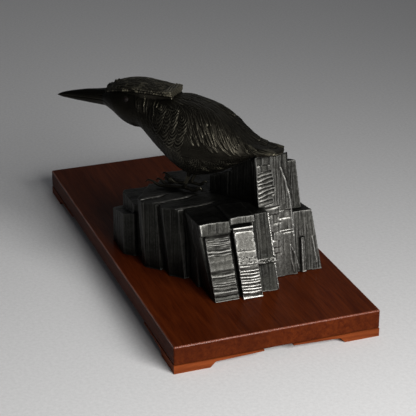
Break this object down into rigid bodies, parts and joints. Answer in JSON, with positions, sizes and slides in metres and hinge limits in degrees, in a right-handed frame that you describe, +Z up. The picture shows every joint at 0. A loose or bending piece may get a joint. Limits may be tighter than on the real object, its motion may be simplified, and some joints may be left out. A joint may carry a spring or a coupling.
{
  "type": "bird sculpture",
  "caption": "Cast bronze kingfisher leaning out from a stepped, chiselled bronze rock, fixed on a rectangular lacquered wooden plinth with bracket feet.",
  "frame": {"origin": "centre of the whole sculpture's bounding box on the surface that the feet stand on", "axes": "+X along the plinth, towards the end that the rock stands near; +Z up; the bill reaches out past the plinth's -Y side"},
  "size_m": [0.296, 0.1574, 0.1406],
  "materials": {
    "lacquered_wood": "reddish brown lacquered hardwood, satin to gloss",
    "foot_wood": "orange-red lacquered hardwood, satin",
    "rock_bronze": "chiselled cast bronze, grey silver-brown patina, polished on the ridges",
    "bird_bronze": "cast bronze with carved feathers, dark brown-black patina with warm worn edges",
    "eye_inlay": "small polished dark pinkish inlay"
  },
  "bodies": {
    "root": {"plinth_board": "lacquered_wood", "plinth_foot_front_left": "foot_wood", "plinth_foot_front_right": "foot_wood", "plinth_foot_back_left": "foot_wood", "plinth_foot_back_right": "foot_wood", "rock": "rock_bronze", "kingfisher": "bird_bronze", "eye_left": "eye_inlay", "eye_right": "eye_inlay"}
  },
  "joints": []
}
